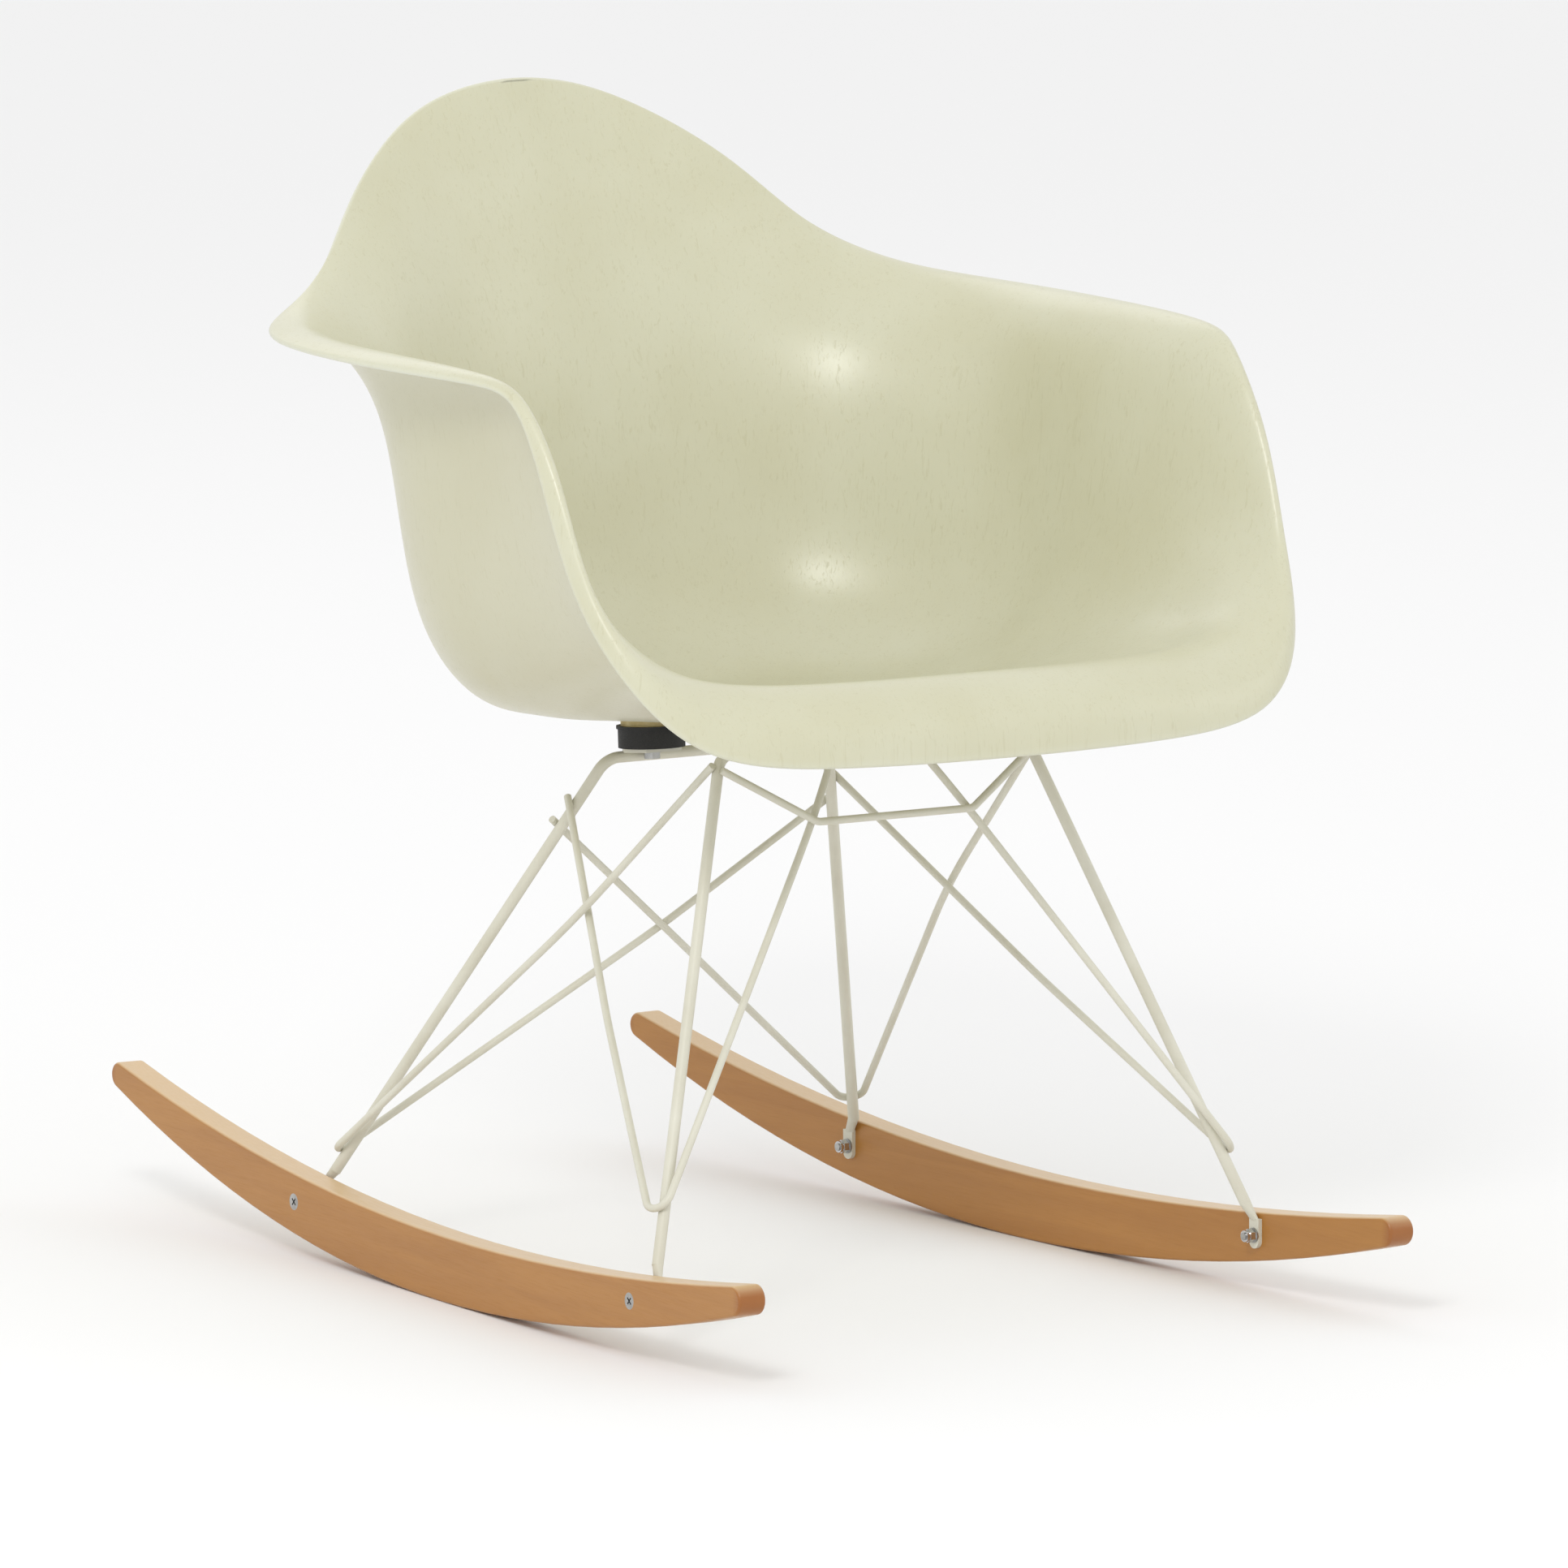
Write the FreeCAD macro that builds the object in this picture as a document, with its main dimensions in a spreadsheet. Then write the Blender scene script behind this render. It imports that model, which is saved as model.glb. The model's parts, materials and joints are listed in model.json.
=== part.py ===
import FreeCAD, Part
import math
import os

from FreeCAD import Placement, Rotation, Vector

# Rocking armchair: a moulded shell on four rubber mounts, a welded wire base and two wooden rockers.
# Millimetres, +Z up. The sitter faces -Y, so +X is the sitter's left.
# The origin is on the floor, midway between the two points where the rockers touch it.

doc = FreeCAD.newDocument("rocking_armchair")
sheet = doc.addObject("Spreadsheet::Sheet", "sizes")

drivingSizes = [
    ("shell_width", 604),
    ("shell_depth", 566),
    ("shell_rise", 395),
    ("shell_front_edge_height", 370),
    ("shell_thickness", 4),
    ("heavy_rod", 7.5),
    ("thin_rod", 5),
    ("rear_bar_half", 87.5),
    ("rear_bar_back", 64.5),
    ("rear_bar_height", 340.5),
    ("front_bar_half", 119),
    ("front_bar_ahead", 113),
    ("front_bar_height", 364),
    ("hoop_bend", 14),
    ("wire_bend", 10),
    ("wire_bow", 600),
    ("brace_corner_half", 61),
    ("brace_drop", 45),
    ("rocker_half_gap", 224.5),
    ("rocker_toe_angle", 3.3),
    ("rocker_thick", 20),
    ("rocker_front_reach", 350),
    ("rocker_rear_reach", 462),
    ("rocker_middle_deep", 42.5),
    ("rocker_top_ahead", 50),
    ("rocker_sole_front_radius", 1480),
    ("rocker_sole_rear_radius", 1235),
    ("rocker_top_front_radius", 2450),
    ("rocker_top_rear_radius", 2080),
    ("rocker_edge_round", 2),
    ("rear_bolt_back", 217),
    ("rear_bolt_height", 41),
    ("front_bolt_ahead", 213),
    ("front_bolt_height", 33),
    ("ear_thick", 3),
    ("ear_wide", 9.5),
    ("screw_dia", 5),
    ("screw_head_dia", 11),
    ("screw_head_deep", 3),
    ("nut_flats", 8),
    ("nut_high", 4.5),
    ("nut_collar_high", 2.5),
    ("nut_washer_dia", 10),
    ("nut_washer_thick", 1),
    ("mount_dia", 44),
    ("mount_high", 14.5),
    ("mount_lip", 1),
    ("mount_lip_high", 2),
    ("mount_from_bar", 12.5),
    ("rear_mount_half", 60),
    ("front_mount_half", 80),
    ("rear_mount_tilt", 3),
    ("front_mount_tilt", 8),
    ("insert_dia", 14),
    ("insert_high", 11),
    ("plate_across", 44),
    ("plate_deep", 28),
    ("plate_thick", 2.5),
    ("bolt_dia", 6),
    ("bolt_flats", 10),
    ("bolt_head_high", 4),
    ("bolt_washer_dia", 12),
    ("bolt_washer_thick", 1.2),
    ("hole_clearance", 0.2),
]

for row, (alias, number) in enumerate(drivingSizes, start=1):
    sheet.set("A%d" % row, alias)
    sheet.set("B%d" % row, str(number))
    sheet.setAlias("B%d" % row, alias)
doc.recompute()


def size(alias):
    return float(sheet.get(alias))


def bind(feature, **sizes):
    """Bind each named property of a feature to an expression on the sheet."""
    for prop, expression in sizes.items():
        feature.setExpression(prop, expression)


nodes = []


def node(feature, name):
    """Give a finished sub-part the name of its file."""
    feature.Label = name
    nodes.append(feature)
    return feature


def add(kind, name, place=None, **sizes):
    """Add one primitive, bound to the sheet and put in its place."""
    feature = doc.addObject(kind, name)
    bind(feature, **sizes)
    if place is not None:
        feature.Placement = place
    return feature


def joined(name, shapes):
    fuse = doc.addObject("Part::MultiFuse", name)
    fuse.Shapes = shapes
    fuse.Refine = False
    return fuse


def cut(name, base, tool):
    result = doc.addObject("Part::Cut", name)
    result.Base = base
    result.Tool = tool
    result.Refine = False
    return result


def shifted(place, along):
    """A placement moved by a distance along its own Z axis."""
    return place.multiply(Placement(Vector(0, 0, along), Rotation()))


def mirrored(point):
    return Vector(-point.x, point.y, point.z)


def sided(point, side):
    """The same point on the sitter's left (side +1) or right (side -1)."""
    return Vector(side * point.x, point.y, point.z)


sideNames = {1: "left", -1: "right"}

# ---------------------------------------------------------------- shell
# Each station is a line on the sitting surface from the middle of the seat out to the edge. The first
# runs straight forward over the front edge and the last straight up the middle of the back, and the
# ones between pass over the sitter's left arm. Its points are where the flat of the seat ends, low on
# the side, high on the side, the start of the rolled lip, the crown of the lip and the edge.
patternWidth = 604.0
patternDepth = 566.0
patternRise = 395.0
patternFrontHeight = 370.0
stations = [
    [(0, -80, 391), (0, -160, 408), (0, -210, 418), (0, -242, 415), (0, -260, 398), (0, -265, 370)],
    [(52, -80, 391), (82, -158, 408), (102, -208, 418), (113, -241, 416), (118, -259, 399), (120, -264, 372)],
    [(102, -66, 391), (150, -143, 409), (182, -194, 422), (200, -226, 423), (209, -244, 408), (214, -251, 385)],
    [(140, -45, 390), (190, -108, 414), (220, -160, 437), (240, -199, 449), (252, -219, 444), (261, -220, 428)],
    [(163, -20, 389), (211, -68, 422), (240, -122, 466), (259, -165, 489), (269, -189, 490), (278, -182, 485)],
    [(174, 4, 388), (223, -30, 436), (247, -86, 502), (266, -146, 550), (275, -162, 553), (283, -153, 550)],
    [(178, 22, 388), (228, -4, 446), (249, -52, 530), (265, -106, 592), (275, -124, 602), (284, -122, 600)],
    [(180, 38, 388), (230, 20, 450), (248, -6, 545), (264, -56, 605), (279, -74, 618), (292, -78, 614)],
    [(178, 56, 387), (228, 50, 450), (246, 40, 552), (263, 28, 610), (282, 22, 622), (302, 18, 617)],
    [(170, 76, 385), (216, 84, 446), (237, 86, 552), (255, 100, 611), (276, 106, 624), (299, 110, 620)],
    [(154, 100, 384), (194, 118, 444), (214, 122, 550), (232, 154, 612), (252, 168, 628), (277, 175, 625)],
    [(130, 121, 382), (165, 150, 442), (184, 161, 556), (194, 200, 624), (212, 207, 639), (234, 208, 638)],
    [(104, 138, 381), (132, 176, 440), (150, 194, 566), (156, 233, 650), (170, 240, 665), (188, 238, 664)],
    [(73, 150, 381), (92, 197, 440), (103, 225, 576), (110, 261, 681), (124, 269, 704), (143, 268, 707)],
    [(38, 157, 380), (48, 211, 440), (53, 244, 584), (59, 280, 701), (68, 291, 733), (75, 298, 748)],
    [(0, 160, 380), (0, 215, 440), (0, 250, 586), (0, 286, 706), (0, 297, 745), (0, 301, 762)],
]
# How far along a station each of its points lies. The flat middle of the seat comes first, and then a
# point on the way from it to the station's first point, which keeps the seat from sagging between them.
stationMarks = [0.0, 0.65, 1.35, 2.15, 3.0, 3.65, 3.95, 4.25]
dishAlong = 0.5
dishRise = 0.3
seatMiddleBack = 66.0
seatMiddleRadius = 42.0
seatMiddleHeight = 369.0


def shellPoint(x, y, z):
    """Stretch one point of the pattern to the sizes on the sheet."""
    acrossScale = size("shell_width") / patternWidth
    depthScale = size("shell_depth") / patternDepth
    riseScale = size("shell_rise") / patternRise
    height = size("shell_front_edge_height") + (z - patternFrontHeight) * riseScale
    return Vector(x * acrossScale, y * depthScale, height)


def shellRings():
    """The closed rings of points round the shell, from the middle of the seat to the edge."""
    last = len(stations) - 1
    half = []
    for index, station in enumerate(stations):
        turn = math.pi * index / last
        middle = (
            seatMiddleRadius * math.sin(turn),
            seatMiddleBack - seatMiddleRadius * math.cos(turn),
            seatMiddleHeight,
        )
        first = station[0]
        dish = (
            middle[0] + (first[0] - middle[0]) * dishAlong,
            middle[1] + (first[1] - middle[1]) * dishAlong,
            middle[2] + (first[2] - middle[2]) * dishRise,
        )
        half.append([shellPoint(*point) for point in [middle, dish] + station])
    otherHalf = [[mirrored(point) for point in line] for line in half[last - 1:0:-1]]
    return [list(ring) for ring in zip(*(half + otherHalf))]


def skin(rings):
    """A smooth closed surface through the rings, as a surface that is periodic round the shell."""
    curves = []
    for ring in rings:
        curve = Part.BSplineCurve()
        curve.interpolate(Points=ring, PeriodicFlag=True, Parameters=list(range(len(ring) + 1)))
        curves.append(curve)
    poles = []
    for column in zip(*[curve.getPoles() for curve in curves]):
        line = Part.BSplineCurve()
        line.interpolate(Points=list(column), Parameters=stationMarks)
        poles.append(line.getPoles())
    surface = Part.BSplineSurface()
    surface.buildFromPolesMultsKnots(
        poles, curves[0].getMultiplicities(), line.getMultiplicities(),
        curves[0].getKnots(), line.getKnots(), True, False, 3, 3)
    return surface


def undersideRings(surface, rings):
    """The same rings moved down or outward by the thickness, square to the sitting surface."""
    thickness = size("shell_thickness")
    under = []
    for mark, ring in zip(stationMarks, rings):
        moved = []
        for index, point in enumerate(ring):
            outward = surface.normal(float(index), mark)
            if mark == stationMarks[0]:
                outward = Vector(0, 0, -1)
            moved.append(point + outward * thickness)
        under.append(moved)
    return under


def shellSolid():
    rings = shellRings()
    top = skin(rings)
    under = skin(undersideRings(top, rings))
    faces = [top.toShape(), under.toShape()]
    inner = [surface.vIso(stationMarks[0]).toShape() for surface in (top, under)]
    outer = [surface.vIso(stationMarks[-1]).toShape() for surface in (top, under)]
    faces += [Part.Face(Part.Wire([edge])) for edge in inner]
    faces.append(Part.makeRuledSurface(outer[0], outer[1]))
    sewn = Part.Shell([face for part in faces for face in part.Faces])
    sewn.sewShape(0.01)
    solid = Part.Solid(sewn)
    if solid.Volume < 0:
        solid.reverse()
    return solid


seatShell = doc.addObject("Part::Feature", "seat_shell")
seatShell.Shape = shellSolid()
node(seatShell, "seat_shell")

# ---------------------------------------------------------------- rockers
# The sole and the top edge are each two arcs that meet without a corner, and the ends are round.
toe = math.radians(size("rocker_toe_angle"))


def alongArc(radius, bottom, back, away):
    """A point on an arc whose lowest point is (back, bottom), at a distance away from it."""
    return Vector(back + away, bottom + radius - math.sqrt(radius ** 2 - away ** 2), 0)


def noseArc(reach, soleRadius, topRadius):
    """Centre and radius of the round end that touches both the sole and the top edge."""
    soleCentre = Vector(0, soleRadius, 0)
    topCentre = Vector(-size("rocker_top_ahead"), size("rocker_middle_deep") + topRadius, 0)
    radius = 8.0
    side = math.copysign(1.0, reach)
    for attempt in range(40):
        centreY = reach - side * radius
        high = soleRadius - math.sqrt((soleRadius - radius) ** 2 - centreY ** 2)
        centre = Vector(centreY, high, 0)
        gap = (centre - topCentre).Length - topRadius
        radius += 0.5 * (gap - radius)
    return centre, radius, soleCentre, topCentre


def rockerSketch(body):
    """The side outline of a rocker: y along the rocker and z up."""
    plane = [feature for feature in body.Origin.OriginFeatures if feature.Role == "YZ_Plane"][0]
    sketch = body.newObject("Sketcher::SketchObject", "rockerOutline")
    sketch.AttachmentSupport = [(plane, "")]
    sketch.MapMode = "FlatFace"
    soleFront = size("rocker_sole_front_radius")
    soleRear = size("rocker_sole_rear_radius")
    topFront = size("rocker_top_front_radius")
    topRear = size("rocker_top_rear_radius")
    topLow = Vector(-size("rocker_top_ahead"), size("rocker_middle_deep"), 0)
    ends = []
    for reach, soleRadius, topRadius in (
            (size("rocker_rear_reach"), soleRear, topRear),
            (-size("rocker_front_reach"), soleFront, topFront)):
        centre, radius, soleCentre, topCentre = noseArc(reach, soleRadius, topRadius)
        onSole = soleCentre + (centre - soleCentre).normalize() * soleRadius
        onTop = topCentre + (centre - topCentre).normalize() * topRadius
        tip = centre + Vector(math.copysign(radius, reach), 0, 0)
        ends.append((onSole, tip, onTop))
    rear, front = ends
    outline = [
        Part.Arc(front[0], alongArc(soleFront, 0, 0, front[0].x / 2), Vector(0, 0, 0)),
        Part.Arc(Vector(0, 0, 0), alongArc(soleRear, 0, 0, rear[0].x / 2), rear[0]),
        Part.Arc(rear[0], rear[1], rear[2]),
        Part.Arc(rear[2], alongArc(topRear, topLow.y, topLow.x, (rear[2].x - topLow.x) / 2), topLow),
        Part.Arc(topLow, alongArc(topFront, topLow.y, topLow.x, (front[2].x - topLow.x) / 2), front[2]),
        Part.Arc(front[2], front[1], front[0]),
    ]
    sketch.addGeometry(outline)
    return sketch


def rocker(side):
    """One rocker, toed in toward the back, with a countersunk hole at each leg."""
    name = "rocker_" + sideNames[side]
    body = doc.addObject("PartDesign::Body", name + "_board")
    pad = body.newObject("PartDesign::Pad", "board")
    pad.Profile = rockerSketch(body)
    pad.Reversed = side < 0
    bind(pad, Length="sizes.rocker_thick")
    doc.recompute()
    flats = []
    for number, face in enumerate(pad.Shape.Faces, start=1):
        if face.Surface.TypeId == "Part::GeomPlane":
            flats.append("Face%d" % number)
    rounded = body.newObject("PartDesign::Fillet", "roundedEdges")
    rounded.Base = (pad, flats)
    bind(rounded, Radius="sizes.rocker_edge_round")
    body.Placement = Placement(
        Vector(side * size("rocker_half_gap"), 0, 0),
        Rotation(Vector(0, 0, 1), side * size("rocker_toe_angle")))
    drills = []
    for end in ("rear", "front"):
        place = boltPlace(end, side)
        drills.append(add(
            "Part::Cylinder", "drill", shifted(place, -5),
            Radius="sizes.screw_dia / 2 + sizes.hole_clearance",
            Height="sizes.rocker_thick + 10"))
        drills.append(add(
            "Part::Cone", "countersink",
            shifted(place, size("rocker_thick") - size("screw_head_deep")),
            Radius1="sizes.screw_dia / 2", Radius2="sizes.screw_head_dia / 2",
            Height="sizes.screw_head_deep"))
    return node(cut(name, body, joined(name + "_holes", drills)), name)


def innerFace(y):
    """How far out the inner face of a rocker is at a place along the chair."""
    return size("rocker_half_gap") - math.tan(toe) * y


def boltPlace(end, side):
    """On the rocker's inner face where a leg is bolted, with +Z pointing out through the rocker."""
    if end == "rear":
        y = size("rear_bolt_back")
        z = size("rear_bolt_height")
    else:
        y = -size("front_bolt_ahead")
        z = size("front_bolt_height")
    outward = Vector(side * math.cos(toe), math.sin(toe), 0)
    return Placement(Vector(side * innerFace(y), y, z), Rotation(Vector(0, 0, 1), outward))


for side in (1, -1):
    rocker(side)

# ---------------------------------------------------------------- wire base


def bentWire(points, bends):
    """Straight runs through the points, joined by tangent arcs of the given bends."""
    edges = []
    start = points[0]
    for before, corner, after, bend in zip(points, points[1:], points[2:], bends):
        back = (before - corner).normalize()
        ahead = (after - corner).normalize()
        halfAngle = back.getAngle(ahead) / 2
        reach = bend / math.tan(halfAngle)
        inward = (back + ahead).normalize()
        first = corner + back * reach
        middle = corner + inward * (bend / math.sin(halfAngle) - bend)
        second = corner + ahead * reach
        edges.append(Part.makeLine(start, first))
        edges.append(Part.Arc(first, middle, second).toShape())
        start = second
    edges.append(Part.makeLine(start, points[-1]))
    return Part.Wire(edges)


def rod(name, points, bends, thickness):
    """A round rod swept along its path."""
    path = doc.addObject("Part::Feature", name + "_path")
    path.Shape = bentWire(points, bends)
    section = add("Part::Circle", name + "_section", Radius="sizes.%s / 2" % thickness)
    direction = points[1] - points[0]
    section.Placement = Placement(points[0], Rotation(Vector(0, 0, 1), direction))
    sweep = doc.addObject("Part::Sweep", name + "_rod")
    sweep.Sections = [section]
    sweep.Spine = (path, ["Edge%d" % (number + 1) for number in range(len(path.Shape.Edges))])
    sweep.Solid = True
    sweep.Frenet = False
    return sweep


heavyRadius = size("heavy_rod") / 2
thinRadius = size("thin_rod") / 2
touching = heavyRadius + thinRadius + 0.12
# A leg's round rod stops this far above its bolt, and is forged flat from there to the ear's top.
rodStop = 20.0
earTop = 11.0
earBelow = 4.0
# The rod stands off the rocker by a little more than its radius, so it clears the wood beside it.
rodStandOff = heavyRadius + 1.4

barEnd = {
    "rear": Vector(size("rear_bar_half"), size("rear_bar_back"), size("rear_bar_height")),
    "front": Vector(size("front_bar_half"), -size("front_bar_ahead"), size("front_bar_height")),
}


def legFoot(end):
    """The lower end of the left leg's rod, just above the bolt and clear of the rocker."""
    bolt = boltPlace(end, 1)
    slope = barEnd[end] - bolt.Base
    backward = slope.y / slope.z * rodStop
    inward = Vector(math.cos(toe), math.sin(toe), 0) * rodStandOff
    return bolt.Base - inward + Vector(0, backward, rodStop)


def onLeg(end, height):
    """The point on the middle of the left leg at a height."""
    foot = legFoot(end)
    top = barEnd[end]
    return foot + (top - foot) * ((height - foot.z) / (top.z - foot.z))


def legDirection(end):
    return (barEnd[end] - legFoot(end)).normalize()


def ear(name, end, side):
    """The flattened leg end: a plate with a round tip, flat against the rocker, and the forging above."""
    bolt = boltPlace(end, side)
    outward = bolt.Rotation.multVec(Vector(0, 0, 1))
    thick = size("ear_thick")
    wide = size("ear_wide")
    turned = Rotation(Vector(0, 0, 1), math.degrees(math.atan2(outward.y, outward.x)))
    upright = Placement(bolt.Base - outward * thick, turned)
    corner = Placement(Vector(0, -wide / 2, -earBelow), Rotation())
    plate = add("Part::Box", name + "_plate", upright.multiply(corner),
                Length="sizes.ear_thick", Width="sizes.ear_wide")
    plate.Height = earTop + earBelow
    lower = Placement(bolt.Base - outward * thick - Vector(0, 0, earBelow), bolt.Rotation)
    tip = add("Part::Cylinder", name + "_tip", lower,
              Radius="sizes.ear_wide / 2", Height="sizes.ear_thick")
    across = turned.multVec(Vector(0, 1, 0))
    direction = sided(legDirection(end), side)
    round = add("Part::Circle", name + "_round", Radius="sizes.heavy_rod / 2 - 0.05")
    round.Placement = Placement(
        sided(legFoot(end), side) + direction,
        Rotation(across, Vector(), direction, "ZXY"))
    flat = add("Part::Ellipse", name + "_flat",
               MajorRadius="sizes.ear_wide / 2 - 0.2", MinorRadius="sizes.ear_thick / 2 - 0.15")
    flat.Placement = Placement(
        bolt.Base - outward * (thick / 2) + Vector(0, 0, earTop - 2),
        Rotation(across, Vector(), Vector(0, 0, 1), "ZXY"))
    forging = doc.addObject("Part::Loft", name + "_forging")
    forging.Sections = [round, flat]
    forging.Solid = True
    return [plate, tip, forging]


def hoop(end):
    """Both legs of one end and their cross bar in one heavy rod, flattened and drilled at the ends."""
    name = end + "_leg_hoop"
    foot = legFoot(end)
    top = barEnd[end]
    bends = [size("hoop_bend")] * 2
    pieces = [rod(name, [foot, top, mirrored(top), mirrored(foot)], bends, "heavy_rod")]
    drills = []
    for side in (1, -1):
        pieces += ear(name + "_ear", end, side)
        drills.append(add(
            "Part::Cylinder", "ear_drill", shifted(boltPlace(end, side), -10),
            Radius="sizes.screw_dia / 2 + sizes.hole_clearance", Height=str(20)))
    return node(cut(name, joined(name + "_solid", pieces), joined(name + "_drills", drills)), name)


for end in ("rear", "front"):
    hoop(end)



def beside(end, height, start, outward):
    """Where a wire from a start point passes a left leg and just touches it on its outward side."""
    middle = onLeg(end, height)
    square = legDirection(end).cross(middle - start).normalize()
    if square.dot(outward) < 0:
        square = square * -1
    return middle + square * touching


def bracingWire(end, height, firstRun, secondRun):
    """The points and bends of a wire bent to a V whose bottom touches the outside of a left leg."""
    bend = size("wire_bend")
    onAxis = onLeg(end, height)
    first = (firstRun[0] - onAxis).normalize()
    second = (secondRun[0] - onAxis).normalize()
    outward = first.cross(second)
    if outward.x < 0:
        outward = outward * -1
    along = legDirection(end)
    away = (outward - along * outward.dot(along)).normalize()
    middle = (first + second).normalize()
    halfAngle = first.getAngle(second) / 2
    corner = onAxis + away * touching - middle * (bend / math.sin(halfAngle) - bend)
    bow = size("wire_bow")
    bends = [bow] * (len(firstRun) - 1) + [bend] + [bow] * (len(secondRun) - 1)
    axis = Part.makeLine(legFoot(end), barEnd[end])
    for attempt in range(5):
        points = firstRun[::-1] + [corner] + secondRun
        corner = corner + away * (touching - bentWire(points, bends).distToShape(axis)[0])
    return points, bends


# The brace crosses in front of the front leg tops and dips to two corners.
frontBarHeight = size("front_bar_height")
braceCorner = Vector(size("brace_corner_half"), -size("front_bar_ahead") - 27, frontBarHeight - size("brace_drop"))
braceEnd = beside("front", frontBarHeight - 11, braceCorner, Vector(0, -1, 0))
bracePoints = [braceEnd, braceCorner, mirrored(braceCorner), mirrored(braceEnd)]
node(rod("front_brace", bracePoints, [size("wire_bend")] * 2, "thin_rod"), "front_brace")

# A front wire runs round its front leg, one arm to the rear leg of its side, the other to the front bar.
frontLow = onLeg("front", size("front_bolt_height") + 51)
atRearLeg = beside("rear", size("rear_bar_height") - 31, frontLow, Vector(1, 0, 0))
pastRearLeg = atRearLeg + (atRearLeg - frontLow).normalize() * 4
sideBow = (frontLow + atRearLeg) * 0.5 + Vector(7, 0, -7)
behindBrace = braceCorner + Vector(0, 2 * thinRadius + 0.8, 0)
underFrontBar = Vector(33, -size("front_bar_ahead") - 0.62 * touching, frontBarHeight - 0.79 * touching)
# A rear wire runs round its rear leg, one arm to the front leg of its side, the other to the far rear leg.
rearLow = onLeg("rear", size("rear_bolt_height") + 30)
atFrontLeg = beside("front", frontBarHeight - 10, rearLow, Vector(1, 0, 0))
pastFrontLeg = atFrontLeg + (atFrontLeg - rearLow).normalize() * 3
innerBow = rearLow + (atFrontLeg - rearLow) * 0.6 + Vector(-11, 0, 4)
farLeg = mirrored(beside("rear", size("rear_bar_height") - 47, mirrored(rearLow), Vector(0, 1, 0)))
pastFarLeg = farLeg + (farLeg - rearLow).normalize() * 5
crossing = rearLow + (farLeg - rearLow) * (rearLow.x / (rearLow.x - farLeg.x))
hoopNormal = legDirection("rear").cross(Vector(-1, 0, 0)).normalize()

for side in (1, -1):
    # The two long rear arms bow apart where they cross, one passing behind the other.
    passing = crossing + hoopNormal * (touching - 0.5 + side * (thinRadius + 0.5))
    wires = {
        "front_wire_": bracingWire(
            "front", size("front_bolt_height") + 51,
            [sideBow, pastRearLeg], [behindBrace, underFrontBar]),
        "rear_wire_": bracingWire(
            "rear", size("rear_bolt_height") + 30,
            [innerBow, pastFrontLeg], [passing, pastFarLeg]),
    }
    for wire, (points, bends) in wires.items():
        name = wire + sideNames[side]
        node(rod(name, [sided(point, side) for point in points], bends, "thin_rod"), name)

# ---------------------------------------------------------------- leg bolts
for end in ("rear", "front"):
    for side in (1, -1):
        place = boltPlace(end, side)
        where = "_" + end + "_" + sideNames[side]
        outer = size("rocker_thick")
        stack = size("ear_thick") + size("nut_washer_thick") + size("nut_high") + size("nut_collar_high")
        shank = add("Part::Cylinder", "shank" + where, shifted(place, -stack - 1), Radius="sizes.screw_dia / 2")
        shank.setExpression(
            "Height",
            "sizes.rocker_thick - sizes.screw_head_deep + sizes.ear_thick + sizes.nut_washer_thick"
            " + sizes.nut_high + sizes.nut_collar_high + 1")
        head = add("Part::Cone", "head" + where, shifted(place, outer - size("screw_head_deep")),
                   Radius1="sizes.screw_dia / 2", Radius2="sizes.screw_head_dia / 2",
                   Height="sizes.screw_head_deep")
        slots = []
        for turn in (0, 90):
            slot = add("Part::Box", "slot" + where)
            slot.Length = 6
            slot.Width = 1.2
            slot.Height = 2
            recess = shifted(place, outer - 1.8)
            spin = Placement(Vector(0, 0, 0), Rotation(Vector(0, 0, 1), turn + 45))
            slot.Placement = recess.multiply(spin).multiply(Placement(Vector(-3, -0.6, 0), Rotation()))
            slots.append(slot)
        screwSolid = joined("screw_solid" + where, [shank, head])
        node(cut("rocker_screw" + where, screwSolid, joined("recess" + where, slots)), "rocker_screw" + where)

        washerAt = shifted(place, -size("ear_thick") - size("nut_washer_thick"))
        disc = add("Part::Cylinder", "disc" + where, washerAt,
                   Radius="sizes.nut_washer_dia / 2", Height="sizes.nut_washer_thick")
        bore = add("Part::Cylinder", "bore" + where, washerAt,
                   Radius="sizes.screw_dia / 2 + sizes.hole_clearance", Height="sizes.nut_washer_thick")
        node(cut("rocker_washer" + where, disc, bore), "rocker_washer" + where)

        nutAt = shifted(washerAt, -size("nut_high"))
        hexagon = add("Part::Prism", "hexagon" + where, nutAt,
                      Circumradius="sizes.nut_flats / 2 / cos(30)", Height="sizes.nut_high")
        collarAt = shifted(nutAt, -size("nut_collar_high"))
        collar = add("Part::Cylinder", "collar" + where, collarAt,
                     Radius="sizes.nut_flats / 2 - 0.2", Height="sizes.nut_collar_high")
        thread = add("Part::Cylinder", "thread" + where, shifted(collarAt, -1),
                     Radius="sizes.screw_dia / 2", Height="sizes.nut_high + sizes.nut_collar_high + 2")
        nutSolid = joined("nut_solid" + where, [hexagon, collar])
        node(cut("rocker_nut" + where, nutSolid, thread), "rocker_nut" + where)

# ---------------------------------------------------------------- shock mounts
padTall = 24.0
boltGrip = 8.0


def mountPlace(end, side):
    """Where a mounting plate lies on the cross bar, with +Z square to the plate."""
    bar = barEnd[end]
    tilt = math.radians(size(end + "_mount_tilt"))
    across = -1.0 if end == "rear" else 1.0
    # The front of the seat is higher than its back, so every plate leans back.
    upward = Vector(0, math.sin(tilt), math.cos(tilt))
    along = Vector(0, math.cos(tilt), -math.sin(tilt))
    middle = Vector(side * size(end + "_mount_half"), bar.y, bar.z)
    base = middle + upward * heavyRadius + along * (across * size("mount_from_bar"))
    return Placement(base, Rotation(Vector(0, 0, 1), upward))


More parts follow.
